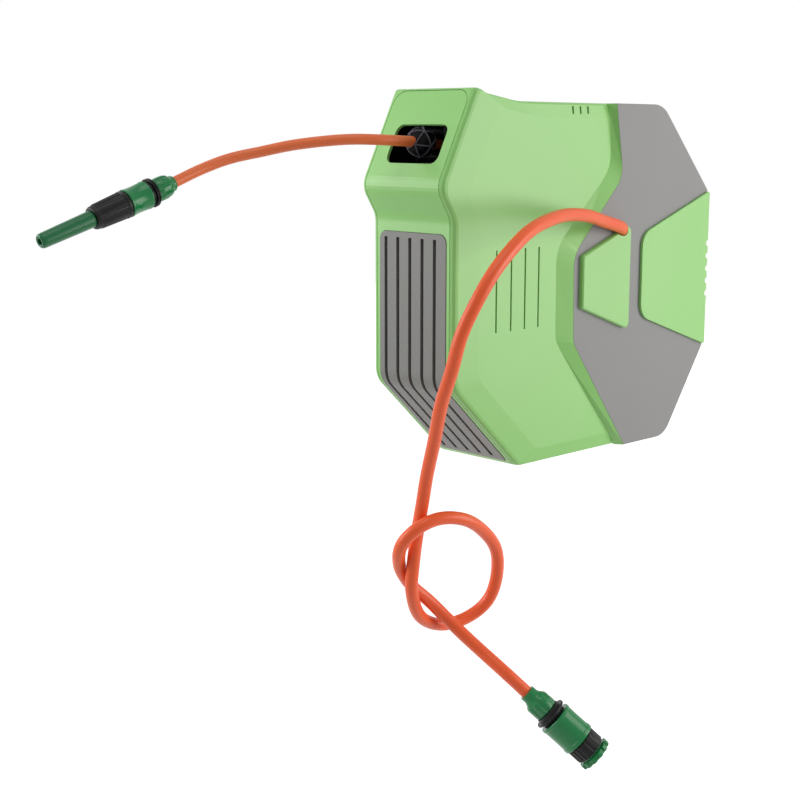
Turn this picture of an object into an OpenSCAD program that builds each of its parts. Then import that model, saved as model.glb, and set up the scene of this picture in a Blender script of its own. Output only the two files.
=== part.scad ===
// Wall mounted retractable garden hose reel with a hand nozzle and a lead hose.
// Millimetres. X runs across the reel, -Y points away from the wall, +Z is up.
// The origin is the centre of the wall bracket's back face.

/* [Case] */
// Depth of the case from its front face to its flat back
case_depth = 368; // [350:1:420]
// Height of the case from its base to the top of the nose
case_height = 352; // [335:1:400]
// Width of the case between the two side creases
case_width = 94; // [90:1:120]
// Wall thickness of the case mouldings
wall = 3; // [2:0.5:3.5]
// How far each side face stands out beyond its crease
side_bulge = 7; // [6.5:0.5:10]
// How far the grey side panels rise above the side faces
panel_rise = 7; // [6.5:0.5:10]

/* [Hoses] */
// Outer diameter of the hose on the drum
hose_d = 9.5; // [8:0.5:11]
// Outer diameter of the lead hose to the tap
lead_d = 12; // [11:0.5:12.5]
// Diameter of the stop ball on the hose
stop_ball_d = 28; // [24:1:30]
// Scale of the connectors and the nozzle against their common size
fitting_scale = 1.1; // [1.05:0.05:1.15]

/* [Drum] */
// Radius of the drum core
core_r = 52; // [50:1:60]
// Thickness of the drum flanges
flange_t = 3; // [2:0.5:3.5]
// Radius of the fixed axle
axle_r = 8; // [6:0.5:8.5]

/* [Hose window] */
// Width of the window in the nose
window_w = 65; // [50:1:70]
// Height of the window along the slope of the nose
window_h = 38; // [32:1:42]
// Diameter of the guide rollers behind the window
roller_d = 10; // [8:1:11]

/* [Wall bracket] */
// Width of the wall plate
bracket_w = 30; // [26:1:40]
// Height of the wall plate
bracket_h = 140; // [130:1:160]
// Thickness of the wall plate
plate_t = 6; // [4:0.5:8]
// Diameter of the swivel pin
pivot_d = 12; // [10:1:14]
// Diameter of the four wall screw holes
screw_hole_d = 6; // [5:0.5:7]

/* [Fits] */
// Radial clearance of the running bores
run_fit = 0.06; // [0.03:0.01:0.1]
// Gap between parts that must not touch
part_gap = 0.3; // [0.3:0.05:0.5]

/* [Hidden] */
$fn = 48;

green = [0.64, 0.81, 0.55];
grey = [0.6, 0.6, 0.6];
black = [0.12, 0.12, 0.12];
deep_green = [0.12, 0.48, 0.27];
orange = [0.88, 0.46, 0.3];
steel = [0.7, 0.7, 0.72];

// Case frame: depths scale about the flat back, heights about the drum axis
rear_y = -66;
depth_ratio = case_depth / 368;
height_ratio = case_height / 352;
function fy(y) = rear_y + (y + 66) * depth_ratio;
function fz(z) = z * height_ratio;
half_w = case_width / 2;
side_x = half_w + side_bulge;
inner_x = side_x - wall;
panel_x = side_x + panel_rise;
hub_y = fy(-234);

// Corners of the side outline as depth, height and radius
outline = [[fy(-346), fz(-170), 14], [fy(-128), fz(-170), 25], [fy(-66), fz(-81), 4], [fy(-66), fz(81), 4],
    [fy(-147), fz(167), 30], [fy(-352), fz(168.5), 150], [fy(-400), fz(176.5), 12],
    [fy(-407), fz(181.5), 4], [fy(-451.5), fz(93), 18], [fy(-434.5), fz(66), 20], [fy(-434.5), fz(-86), 22]];
grey_line = [[fy(-221), fz(167), 0], [fy(-209), fz(98), 24], [fy(-281), fz(26), 30], [fy(-279), fz(-58), 16],
    [fy(-196), fz(-170), 0]];
ramp_line = [[fy(-224), fz(167), 0], [fy(-219), fz(107), 34], [fy(-299), fz(34), 36], [fy(-298), fz(-55), 22],
    [fy(-201), fz(-170), 0]];
roof_split_y = fy(-404);
base_split_y = fy(-338);

// Side face: rounded at the crease, then sloping out a little. Shares of the bulge and set-back of the front
edge_steps = [[0, 0], [0.39, 0.7], [0.67, 2.7], [0.77, 5.5], [1, 32]];
front_reach = 385;

// Nose slope and window
nose_low = [fy(-451.5), fz(93)];
nose_top = [fy(-407), fz(181.5)];
slope_dir = (nose_top - nose_low) / norm(nose_top - nose_low);
slope_angle = atan2(slope_dir[1], slope_dir[0]);
window_c = nose_low + (nose_top - nose_low) * 0.427;
window_x = 3;
plate_top = fz(178);
plate_corner_r = 13;

// Drum
flange_out_x = half_w - 6;
flange_in_x = flange_out_x - flange_t;
flange_r = 146 * min(depth_ratio, height_ratio);
coil_r = flange_r - 39;
core_in_r = core_r - 6;
can_r = core_in_r - 0.2;
screw_ring_r = core_r - 3;
tube_r = axle_r + 1;
pin_r = 3;
ratchet_teeth = 12;
ratchet_r = core_r + 8;
ratchet_root = core_r + 5;
ratchet_in_x = -flange_out_x - 4;
pawl_pivot = [hub_y + 30, ratchet_r + 12];
boss_spots = [[fy(-372), fz(142)], [fy(-330), fz(-132)], [fy(-128), fz(122)], [fy(-115), fz(-122)],
    [fy(-384), fz(-60)]];

// Guide rollers around the hose
guide_y = fy(-405);
guide_z = fz(130.5);
roller_r = roller_d / 2;
roller_step = hose_d / 2 + roller_r + 1;
frame_in = 2 * (roller_step + roller_r) + 1.5;
roller_len = frame_in - 1.5;
rear_row = roller_r * 2 + 3;
hood_rear_y = guide_y + rear_row + roller_r;
hood_low = fz(104);
hood_top = fz(158);
roller_pin_r = 1.5;

// Swivel
pivot_y = -50;
ear_h = 14;
pivot_r = pivot_d / 2;
knuckle_h = bracket_h - ear_h * 2 - 2;
socket_w = 46;
socket_h = 72;

// Inlet arm and the end of the lead hose
arm_x = side_x - 1.5;
arm_y = 35.5;
arm_z = 42.2;
arm_r = 5.2;
exit_yaw = -50.04;
exit_tilt = 74.3;
lead_start = [side_x + 2.8, hub_y + 30.3, 44.1];
lead_shift = [side_x - 54, hub_y + 234, 0];

// Route of the lead hose, one loose overhand knot above the tap end
lead_points = [[68, -219, 50], [77, -258, 58], [88, -295, 65], [98, -337, 68], [107, -373, 65],
    [114, -405, 58], [119, -434, 44], [120, -458, 25], [116, -474, 1], [107, -482, -26], [96, -482, -58],
    [81, -479, -89], [66, -472, -124], [52, -467, -158], [45, -466, -187], [42, -470, -217],
    [42, -474, -241], [39, -473, -267], [32, -456, -296], [30, -427, -312], [36, -399, -311],
    [47, -381, -296], [55, -377, -271], [63, -387, -240], [66, -410, -216], [67, -436, -201],
    [61, -462, -197], [53, -482, -205], [41, -489, -222], [29, -478, -246], [26, -460, -268],
    [32, -444, -284], [43, -433, -300], [56, -425, -314], [74, -416, -330], [97, -410, -345],
    [113, -398, -363]];
lead_route = concat([lead_start], [for (p = lead_points) p + lead_shift]);
lead_knot_from = 14;
lead_knot_to = 33;
tap_at = lead_route[len(lead_route) - 1];
tap_yaw = 36.87;
tap_tilt = 131.3;

// Route of the drum hose from the coil through the rollers to the nozzle
coil_leave = [0, hub_y + 13 * coil_r / 107, 111.3 * coil_r / 107];
guide_at = [0, guide_y, guide_z];
free_steps = [[0, -21, 1.6], [0, -38, 2.6], [-4, -65.5, 4], [-17, -88.5, 4.5], [-36, -107, 2.5],
    [-57, -124, -1], [-75, -143, -6.5], [-87, -167, -12], [-93.5, -193.5, -21], [-94.5, -222.5, -32]];
main_route = concat(
    [coil_leave, coil_leave * 2 / 3 + guide_at / 3, coil_leave / 3 + guide_at * 2 / 3, guide_at],
    [for (s = free_steps) guide_at + s]);
nozzle_at = main_route[len(main_route) - 1];
nozzle_tilt = 108.3;
stop_at = guide_at + [0, -19, 1.5];
stop_tilt = 4;
stop_bore_r = hose_d / 2 + 0.2;

// Flat shapes from corner lists
function unit(v) = v / norm(v);
function corner(a, p, b, r, n) = let(u = unit(a - p), w = unit(b - p), half = acos(u * w) / 2,
    c = p + unit(u + w) * r / sin(half), s = p + u * r / tan(half), e = p + w * r / tan(half),
    a0 = atan2(s[1] - c[1], s[0] - c[0]), a1 = atan2(e[1] - c[1], e[0] - c[0]),
    d = ((a1 - a0 + 540) % 360) - 180)
    [for (i = [0:n]) c + r * [cos(a0 + d * i / n), sin(a0 + d * i / n)]];
function flat(p) = [p[0], p[1]];
function rounded(pts, n = 6) = let(m = len(pts)) [for (i = [0:m - 1])
    each (pts[i][2] == 0 ? [flat(pts[i])]
    : corner(flat(pts[(i + m - 1) % m]), flat(pts[i]), flat(pts[(i + 1) % m]), pts[i][2], n))];
function turn(v) = [-v[1], v[0]];
function inset(pts, t) = let(m = len(pts)) [for (i = [0:m - 1])
    let(a = flat(pts[(i + m - 1) % m]), p = flat(pts[i]), b = flat(pts[(i + 1) % m]),
    d1 = unit(p - a), d2 = unit(b - p), n1 = turn(d1), n2 = turn(d2),
    q = p + t * (n1 + n2) / (1 + n1 * n2), out = d1[0] * d2[1] - d1[1] * d2[0] > 0 ? -t : t)
    [q[0], q[1], pts[i][2] == 0 ? 0 : max(1, pts[i][2] + out)]];

// Lays a flat shape drawn as depth and height upright and gives it width from x0 to x1
module along_x(x0, x1) {
    translate([x0, 0, 0]) rotate([90, 0, 90]) linear_extrude(x1 - x0) children();
}
module rod_x(x0, x1, y, z, r) {
    translate([x0, y, z]) rotate([0, 90, 0]) cylinder(h = x1 - x0, r = r);
}
module toward(yaw, tilt) {
    rotate([0, tilt, yaw]) children();
}
module ring(r_out, r_in, h) {
    difference() {
        cylinder(h = h, r = r_out);
        translate([0, 0, -1]) cylinder(h = h + 2, r = r_in);
    }
}
module case_outline(t = 0) {
    polygon(rounded(inset(outline, t)));
}
module behind(line, dy = 0) {
    pts = rounded(line);
    last = pts[len(pts) - 1];
    polygon(concat([for (p = pts) p + [dy, 0]],
        [[last[0] + dy, -300], [50, -300], [50, 300], [pts[0][0] + dy, 300]]));
}
// Face plate of the case, seen from the front, with rounded top corners
module front_plate(g = 0) {
    rotate([90, 0, 0]) linear_extrude(700) polygon(rounded([[-half_w - g, -300, 0], [half_w + g, -300, 0],
        [half_w + g, plate_top + g, plate_corner_r + g], [-half_w - g, plate_top + g, plate_corner_r + g]]));
}
// Everything in front of the line from the roof split to the base split
module front_zone(dy = 0) {
    polygon([[-700, -300], [base_split_y + dy, -300], [base_split_y + dy, fz(-150)],
        [base_split_y - 45 + dy, 0], [roof_split_y + dy, fz(120)], [roof_split_y + dy, 300], [-700, 300]]);
}

// Solid through rings of points, each ring turning left about the way the rings go
module through_rings(points, sides) {
    n = len(points) / sides;
    polyhedron(points = points, faces = concat(
        [[for (k = [0:sides - 1]) k]],
        [for (i = [0:n - 2]) for (k = [0:sides - 1]) let(a = i * sides + k, b = i * sides + (k + 1) % sides)
            [a, a + sides, b + sides]],
        [for (i = [0:n - 2]) for (k = [0:sides - 1]) let(a = i * sides + k, b = i * sides + (k + 1) % sides)
            [a, b + sides, b]],
        [[for (k = [sides - 1:-1:0]) (n - 1) * sides + k]]));
}
// The case outline at each step across the width, narrowing about the flat back by the step's set-back
module narrowing(steps, t = 0) {
    pts = rounded(inset(outline, t));
    through_rings([for (s = steps) let(k = 1 - s[1] / front_reach) for (p = pts)
        [s[0], rear_y + (p[0] - rear_y) * k, p[1] * k]], len(pts));
}

module ramp_rib() {
    b = rounded(ramp_line);
    t = rounded(grey_line);
    n = len(b);
    low = inner_x + 0.5;
    pts = concat([for (p = b) [low, p[0], p[1]]], [for (p = b) [side_x - 0.2, p[0], p[1]]],
        [for (p = t) [panel_x, p[0], p[1]]], [for (p = t) [low, p[0], p[1]]]);
    polyhedron(points = pts, faces = concat(
        [for (r = [0:3]) for (i = [0:n - 2]) let(f = r * n + i, g = ((r + 1) % 4) * n + i) [f, g + 1, f + 1]],
        [for (r = [0:3]) for (i = [0:n - 2]) let(f = r * n + i, g = ((r + 1) % 4) * n + i) [f, g, g + 1]],
        [[3 * n, 2 * n, n, 0]], [[n - 1, 2 * n - 1, 3 * n - 1, 4 * n - 1]]));
}

// One side of the case, drawn on the +X side
module side_shell() {
    difference() {
        union() {
            difference() {
                union() {
                    narrowing(concat([[0, 0]], [for (s = edge_steps) [half_w + s[0] * side_bulge, s[1]]]));
                    along_x(half_w - 1, side_x) intersection() {
                        case_outline();
                        behind(ramp_line, 1.5);
                    }
                }
                narrowing([[-1, 0], [half_w + 1, 0], [inner_x, edge_steps[4][1]]], wall);
                intersection() {
                    along_x(-1, half_w) front_zone();
                    front_plate();
                }
            }
            ramp_rib();
            for (s = boss_spots) rod_x(0, inner_x + 1, s[0], s[1], 6);
        }
        for (s = boss_spots) rod_x(-1, 34, s[0], s[1], 2);
        for (y = [-381, -361, -342, -323]) translate([inner_x - 2, fy(y) - 1, fz(-39)])
            cube([wall + 4, 2, fz(75)]);
        for (y = [-277, -266, -255]) translate([half_w, fy(y) - 1.2, fz(157.5)])
            cube([side_bulge + 4, 2.4, 7]);
        translate([-1, fy(-78), -socket_h / 2]) cube([socket_w / 2 + 1, 20, socket_h]);
    }
}
module side_panel() {
    difference() {
        along_x(side_x, panel_x) intersection() {
            case_outline();
            behind(grey_line, part_gap);
        }
        along_x(side_x - 1, panel_x - 2.5) intersection() {
            case_outline(2.5);
            behind(grey_line, 3);
        }
    }
}
cap_front_y = fy(-272);
cap_rear_y = fy(-199);
module hub_cap_shape() {
    polygon(rounded([[cap_front_y, fz(-25), 3], [cap_rear_y, fz(-52), 5], [cap_rear_y, fz(52), 5],
        [cap_front_y, fz(25), 3]], 5));
}
module hub_cap() {
    mid = (cap_front_y + cap_rear_y) / 2;
    difference() {
        union() {
            along_x(panel_x, panel_x + 3.8) hub_cap_shape();
            translate([panel_x + 3.8, mid, 0]) rotate([90, 0, 90]) linear_extrude(1.2, scale = 0.965)
                translate([-mid, 0]) hub_cap_shape();
        }
        along_x(panel_x - 1, panel_x + 3) translate([mid, 0]) scale(0.9) translate([-mid, 0]) hub_cap_shape();
    }
}
module rear_cover() {
    wedge_y = fy(-178);
    difference() {
        along_x(panel_x, panel_x + 3) difference() {
            polygon(rounded([[rear_y, fz(-80), 2], [rear_y, fz(80), 2],
                [wedge_y, fz(41), 18], [wedge_y, fz(-41), 18]], 5));
            for (k = [-2:2]) translate([rear_y, k * 13]) circle(r = 3);
        }
        translate([panel_x - 1, wedge_y + 30, -30]) cube([2, 60, 60]);
    }
}
// Straight tunnel that lets the lead hose out of the side
module lead_tunnel() {
    translate(lead_start) toward(exit_yaw, exit_tilt) translate([0, 0, -6])
        cylinder(h = 50, r = lead_d / 2 + 0.4);
}

module left_shell() {
    color(green) difference() {
        mirror([1, 0, 0]) side_shell();
        for (s = boss_spots) rod_x(-side_x - 1, 1, s[0], s[1], 2.2);
        for (s = boss_spots) rod_x(-side_x - 1, -side_x + 6, s[0], s[1], 4.2);
        for (a = [0:120:240]) rod_x(-side_x - 1, -40, hub_y + 14 * cos(a), 14 * sin(a), 1.6);
    }
}
module right_shell() {
    color(green) difference() {
        side_shell();
        rod_x(inner_x - 4, panel_x, hub_y, 0, tube_r + 0.5);
        translate([inner_x - 4, hub_y, 0]) rotate([-atan2(arm_y, arm_z), 0, 0])
            translate([0, -arm_r - 0.7, 0]) cube([wall + 8, arm_r * 2 + 1.4, norm([arm_y, arm_z]) + 6]);
        lead_tunnel();
    }
}
module window_cut() {
    translate([window_x, window_c[0], window_c[1]]) rotate([slope_angle, 0, 0])
        translate([0, 0, -10]) linear_extrude(20)
        polygon(rounded([[-window_w / 2, -window_h / 2, 8], [window_w / 2, -window_h / 2, 8],
            [window_w / 2, window_h / 2, 8], [-window_w / 2, window_h / 2, 8]], 5));
}
grille_x = half_w - 4.5;
grille_top = fz(52);
grille_low = fz(-165);
slot_w = 3.9;
slot_step = 15.7;
slot_shift = -3;
module grille_block(g) {
    translate([0, fy(-340), 0]) rotate([90, 0, 0]) linear_extrude(140)
        polygon(rounded([[-grille_x - g, grille_low - g, 3], [grille_x + g, grille_low - g, 3],
            [grille_x + g, grille_top + g, 8], [-grille_x - g, grille_top + g, 8]], 5));
}
module band(t0, t1, x) {
    along_x(-x, x) intersection() {
        difference() {
            case_outline(t0);
            case_outline(t1);
        }
        front_zone(-0.15);
    }
}
module front_cover() {
    color(green) difference() {
        union() {
            intersection() {
                band(0, 1.3, half_w);
                front_plate(-0.55);
            }
            intersection() {
                band(1.2, wall, half_w);
                front_plate(-0.15);
            }
            for (x = [-15, 15]) along_x(x - 3, x + 3) intersection() {
                case_outline(1.5);
                translate([fy(-420), hood_top]) square([16, fz(173) - hood_top]);
            }
        }
        window_cut();
        grille_block(part_gap);
    }
}
module front_grille() {
    color(grey) difference() {
        union() {
            intersection() {
                band(-0.6, wall + 0.2, half_w);
                grille_block(0);
            }
            intersection() {
                band(wall + 0.2, wall + 2, half_w - 1);
                grille_block(2.5);
            }
        }
        for (k = [-2:2]) translate([k * slot_step + slot_shift - slot_w / 2, fy(-470), fz(-161)])
            cube([slot_w, 135, fz(47) - fz(-161)]);
    }
}
module grille_screen() {
    color(black) intersection() {
        band(wall + 2, wall + 3.2, half_w - 1);
        grille_block(1);
    }
}
module left_panel() {
    color(grey) mirror([1, 0, 0]) side_panel();
}
module right_panel() {
    color(grey) difference() {
        side_panel();
        lead_tunnel();
    }
}
module left_hub_cap() {
    color(green) mirror([1, 0, 0]) hub_cap();
}
module right_hub_cap() {
    color(green) difference() {
        hub_cap();
        lead_tunnel();
    }
}
module left_rear_cover() {
    color(green) mirror([1, 0, 0]) rear_cover();
}
module right_rear_cover() {
    color(green) rear_cover();
}
module case_screws() {
    color(steel) for (s = boss_spots) {
        rod_x(-side_x + 2.5, -side_x + 6, s[0], s[1], 3.6);
        rod_x(-side_x + 5, 22, s[0], s[1], 1.9);
    }
}

// Wall side
module wall_bracket() {
    color(steel) difference() {
        union() {
            translate([-bracket_w / 2, -plate_t, -bracket_h / 2]) cube([bracket_w, plate_t, bracket_h]);
            for (s = [-1, 1]) translate([0, 0, s * (bracket_h - ear_h) / 2 - ear_h / 2]) {
                translate([-pivot_r - 5, pivot_y, 0]) cube([pivot_d + 10, -pivot_y - plate_t + 1, ear_h]);
                translate([0, pivot_y, 0]) cylinder(h = ear_h, r = pivot_r + 5);
            }
        }
        translate([0, pivot_y, -bracket_h]) cylinder(h = bracket_h * 2, r = pivot_r + 0.05);
        for (x = [-1, 1]) for (z = [-1, 1]) translate([x * (bracket_w / 2 - 7), 1, z * (bracket_h / 2 - 30)])
            rotate([90, 0, 0]) cylinder(h = plate_t + 2, r = screw_hole_d / 2);
    }
}
module pivot_pin() {
    color(steel) translate([0, pivot_y, 0]) difference() {
        union() {
            translate([0, 0, -bracket_h / 2 - 8]) cylinder(h = bracket_h + 8, r = pivot_r);
            translate([0, 0, bracket_h / 2]) cylinder(h = 4, r = pivot_r + 3);
        }
        translate([0, 0, -bracket_h / 2 - 4]) ring(pivot_r + 1, pivot_r - 1.5, 1.6);
    }
}
module pin_clip() {
    color(steel) translate([0, pivot_y, -bracket_h / 2 - 3.9]) difference() {
        ring(pivot_r + 3, pivot_r - 1.4, 1.4);
        translate([-2, 0, -1]) cube([4, pivot_r + 5, 4]);
    }
}
module swivel_mount() {
    color(black) difference() {
        union() {
            translate([0, pivot_y, -knuckle_h / 2]) cylinder(h = knuckle_h, r = pivot_r + 5);
            translate([-pivot_r - 5, rear_y, -knuckle_h / 2])
                cube([pivot_d + 10, pivot_y - rear_y, knuckle_h]);
            translate([-20, rear_y, -knuckle_h / 2]) cube([40, 3, knuckle_h]);
            translate([-socket_w / 2 + part_gap, rear_y - 6, -socket_h / 2 + part_gap])
                cube([socket_w - 2 * part_gap, 6.5, socket_h - 2 * part_gap]);
        }
        translate([0, pivot_y, -knuckle_h]) cylinder(h = knuckle_h * 2, r = pivot_r + run_fit);
    }
}

// Roller box behind the window, inside a hood that closes the nose off from the drum
hood_x = half_w - 6;
module hood_side(t) {
    polygon([[hood_rear_y + 2 - t, hood_low + t], [fy(-440) - t, hood_low + t],
        [fy(-413.5) - t, hood_top - t], [hood_rear_y + 2 - t, hood_top - t]]);
}
module roller_frame() {
    h = frame_in / 2;
    color(black) difference() {
        union() {
            translate([-h - 3, guide_y - roller_r - 2, guide_z - h - 3])
                cube([frame_in + 6, rear_row + roller_d + 4, frame_in + 6]);
            difference() {
                along_x(-hood_x, hood_x) hood_side(0);
                along_x(2 - hood_x, hood_x - 2) hood_side(2);
            }
        }
        translate([-h, guide_y - roller_r - 5, guide_z - h])
            cube([frame_in, rear_row + roller_d + 20, frame_in]);
        for (s = [-1, 1]) rod_x(-h - 5, h + 5, guide_y, guide_z + s * roller_step, roller_pin_r);
        for (s = [-1, 1]) translate([s * roller_step, guide_y + rear_row, guide_z - h - 5])
            cylinder(h = frame_in + 10, r = roller_pin_r);
    }
}
module roller_pins() {
    h = frame_in / 2 + 3;
    color(steel) {
        for (s = [-1, 1]) rod_x(-h, h, guide_y, guide_z + s * roller_step, roller_pin_r);
        for (s = [-1, 1]) translate([s * roller_step, guide_y + rear_row, guide_z - h])
            cylinder(h = 2 * h, r = roller_pin_r);
    }
}
module roller() {
    translate([0, 0, -roller_len / 2]) ring(roller_r, roller_pin_r + run_fit, roller_len);
}
module top_roller() {
    color(black) translate([0, guide_y, guide_z + roller_step]) rotate([0, 90, 0]) roller();
}
module bottom_roller() {
    color(black) translate([0, guide_y, guide_z - roller_step]) rotate([0, 90, 0]) roller();
}
module left_roller() {
    color(black) translate([-roller_step, guide_y + rear_row, guide_z]) roller();
}
module right_roller() {
    color(black) translate([roller_step, guide_y + rear_row, guide_z]) roller();
}

// Fixed parts on the drum axis
module main_axle() {
    color(steel) difference() {
        union() {
            rod_x(-inner_x, 8, hub_y, 0, axle_r);
            rod_x(-inner_x, -inner_x + 2.5, hub_y, 0, 20);
        }
        for (a = [0:120:240]) rod_x(-inner_x - 1, -inner_x + 4, hub_y + 14 * cos(a), 14 * sin(a), 1.6);
        translate([-34, hub_y - 0.8, -axle_r - 1]) cube([24, 1.6, axle_r]);
    }
}
seal_x = [flange_in_x - 16, flange_in_x - 9];
hub_left_x = 14;
module inlet_arm(r) {
    translate([arm_x, hub_y, 0]) rotate([-atan2(arm_y, arm_z), 0, 0])
        cylinder(h = norm([arm_y, arm_z]), r = r);
}
module inlet_elbow() {
    color(black) difference() {
        union() {
            rod_x(hub_left_x + 4, arm_x + arm_r, hub_y, 0, tube_r);
            inlet_arm(arm_r);
            translate([arm_x, hub_y + arm_y, arm_z]) sphere(r = arm_r + 0.35);
            translate(lead_start) toward(exit_yaw, exit_tilt) translate([0, 0, -6.5])
                cylinder(h = 6.5, r = arm_r);
        }
        rod_x(hub_left_x, arm_x + 1, hub_y, 0, tube_r - 4);
        inlet_arm(3.5);
        translate(lead_start) toward(exit_yaw, exit_tilt) translate([0, 0, -7.5]) cylinder(h = 10, r = 3);
        for (x = seal_x) translate([x, hub_y, 0]) rotate([0, 90, 0])
            ring(tube_r + 1, tube_r - 1.6, 2.6);
    }
}
module hub_seals() {
    color(black) for (x = seal_x) translate([x + 0.1, hub_y, 0]) rotate([0, 90, 0])
        ring(tube_r, tube_r - 1.5, 2.4);
}
module pawl_pin() {
    color(steel) {
        rod_x(-inner_x, -flange_out_x - 0.8, pawl_pivot[0], pawl_pivot[1], pin_r);
    }
}
pawl_lift = 2.2;
module pawl() {
    color(steel) difference() {
        along_x(ratchet_in_x - 0.4, -flange_out_x - 1) union() {
            translate(pawl_pivot) circle(r = 7);
            polygon([pawl_pivot + [2, 6.5], pawl_pivot + [-27, -6.5], [hub_y, ratchet_r + pawl_lift],
                [hub_y + 2.2, ratchet_r + pawl_lift], pawl_pivot + [-20, -6], pawl_pivot + [3, -6.2]]);
        }
        rod_x(-inner_x, -flange_out_x + 1, pawl_pivot[0], pawl_pivot[1], pin_r + run_fit);
    }
}
module pawl_spring() {
    color(steel) translate([-inner_x + 0.5, pawl_pivot[0], pawl_pivot[1]]) {
        rotate([0, 90, 0]) ring(4.6, 3.4, inner_x + ratchet_in_x - 1.4);
        translate([0, -0.6, 4]) cube([1.2, 1.2, 16]);
    }
}

// Drum
module drum_core() {
    color(black) difference() {
        union() {
            translate([-flange_in_x, hub_y, 0]) rotate([0, 90, 0]) ring(core_r, core_in_r, 2 * flange_in_x);
            rod_x(-2, 2, hub_y, 0, core_in_r + 1);
            rod_x(1, 12, hub_y, 0, axle_r + 6);
        }
        rod_x(-3, 10, hub_y, 0, axle_r + run_fit);
        for (a = [45:90:315]) for (s = [0, 1]) mirror([s, 0, 0]) rod_x(flange_in_x - 14, flange_in_x + 1,
            hub_y + screw_ring_r * cos(a), screw_ring_r * sin(a), 1.5);
        translate([26, hub_y, core_in_r - 5]) cylinder(h = 20, r = hose_d / 2 + 0.1);
    }
}
module flange_shape() {
    difference() {
        circle(r = flange_r, $fn = 96);
        for (a = [0:60:300]) rotate(a) polygon([[core_r + 18, -22], [flange_r - 16, -42], [flange_r - 9, 0],
            [flange_r - 16, 42], [core_r + 18, 22]]);
        for (a = [45:90:315]) rotate(a) translate([screw_ring_r, 0]) circle(r = 1.6);
    }
}
module left_flange() {
    color(black) difference() {
        along_x(-flange_out_x, -flange_in_x) translate([hub_y, 0]) flange_shape();
        rod_x(-flange_out_x - 1, 0, hub_y, 0, axle_r + run_fit);
    }
}
module right_flange() {
    color(black) difference() {
        along_x(flange_in_x, flange_out_x) translate([hub_y, 0]) flange_shape();
        rod_x(0, flange_out_x + 1, hub_y, 0, tube_r + run_fit);
    }
}
module drum_screws() {
    color(steel) for (a = [45:90:315]) for (s = [0, 1]) mirror([s, 0, 0])
        translate([0, hub_y + screw_ring_r * cos(a), screw_ring_r * sin(a)]) {
            rod_x(flange_in_x - 12, flange_out_x + 1, 0, 0, 1.45);
            rod_x(flange_out_x, flange_out_x + 1.6, 0, 0, 2.6);
        }
}
module ratchet_ring() {
    step = 360 / ratchet_teeth;
    color(steel) along_x(ratchet_in_x, -flange_out_x) translate([hub_y, 0]) difference() {
        polygon([for (k = [0:ratchet_teeth - 1]) each [
            ratchet_root * [cos(90 + (k - 0.57) * step), sin(90 + (k - 0.57) * step)],
            ratchet_r * [cos(90 + (k - 0.5) * step), sin(90 + (k - 0.5) * step)],
            ratchet_root * [cos(90 + (k - 0.15) * step), sin(90 + (k - 0.15) * step)]]]);
        circle(r = core_r + 1);
    }
}
module spring_can() {
    color(steel) difference() {
        rod_x(-flange_in_x + 0.5, -6, hub_y, 0, can_r);
        rod_x(-flange_in_x + 2.5, -5, hub_y, 0, can_r - 2);
        rod_x(-flange_in_x - 1, 0, hub_y, 0, axle_r + 0.6);
    }
}
module spring_cover() {
    color(steel) translate([-6, hub_y, 0]) rotate([0, 90, 0]) ring(can_r, axle_r + 0.6, 2.5);
}
spring_turns = 6;
spring_in = axle_r + 1;
spring_out = core_in_r - 3.2;
module power_spring() {
    n = spring_turns * 20;
    pitch = (spring_out - spring_in) / n;
    spiral = [for (i = [0:n]) [for (t = [0, 1])
        (spring_in + pitch * i + t * 0.9) * [cos(i * 18 - 90), sin(i * 18 - 90)]]];
    color(steel) along_x(-flange_in_x + 4, -9) translate([hub_y, 0])
        polygon(concat([for (i = [0:n]) spiral[i][1]], [for (i = [n:-1:0]) spiral[i][0]]));
}
module swivel_hub() {
    color(black) difference() {
        rod_x(hub_left_x, flange_in_x, hub_y, 0, tube_r + 5);
        rod_x(hub_left_x + 3, flange_in_x + 1, hub_y, 0, tube_r + run_fit);
        translate([26, hub_y, 0]) cylinder(h = 30, r = 3);
    }
}
module outlet_barb() {
    color(steel) translate([26, hub_y, 0]) difference() {
        union() {
            translate([0, 0, tube_r + 2]) cylinder(h = 24, r = 3);
            translate([0, 0, tube_r + 5]) cylinder(h = 3, r = 5);
        }
        translate([0, 0, tube_r]) cylinder(h = 40, r = 2);
    }
}
module hose_clamp() {
    color(steel) translate([26, hub_y, tube_r + 15]) {
        ring(hose_d / 2 + 1.4, hose_d / 2 + 0.05, 8);
        translate([hose_d / 2 + 0.9, -2, 1]) cube([4, 4, 6]);
    }
}
module wound_hose() {
    w = flange_in_x - 0.3;
    n = floor(2 * w / hose_d);
    p = 2 * w / n;
    color(orange) difference() {
        union() {
            translate([0, hub_y, 0]) rotate([0, 90, 0]) rotate_extrude($fn = 72) union() {
                translate([core_r + 0.3, -w]) square([coil_r - hose_d / 2 - core_r - 0.3, 2 * w]);
                for (k = [0:n - 1]) translate([coil_r - hose_d / 2, -w + p * (k + 0.5)])
                    circle(r = hose_d / 2 - 0.1, $fn = 16);
            }
            translate([26, hub_y, tube_r + 8.5]) cylinder(h = core_r - tube_r - 6, r = hose_d / 2);
        }
        translate([26, hub_y, 0]) cylinder(h = core_r, r = 3.1);
    }
}

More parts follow.
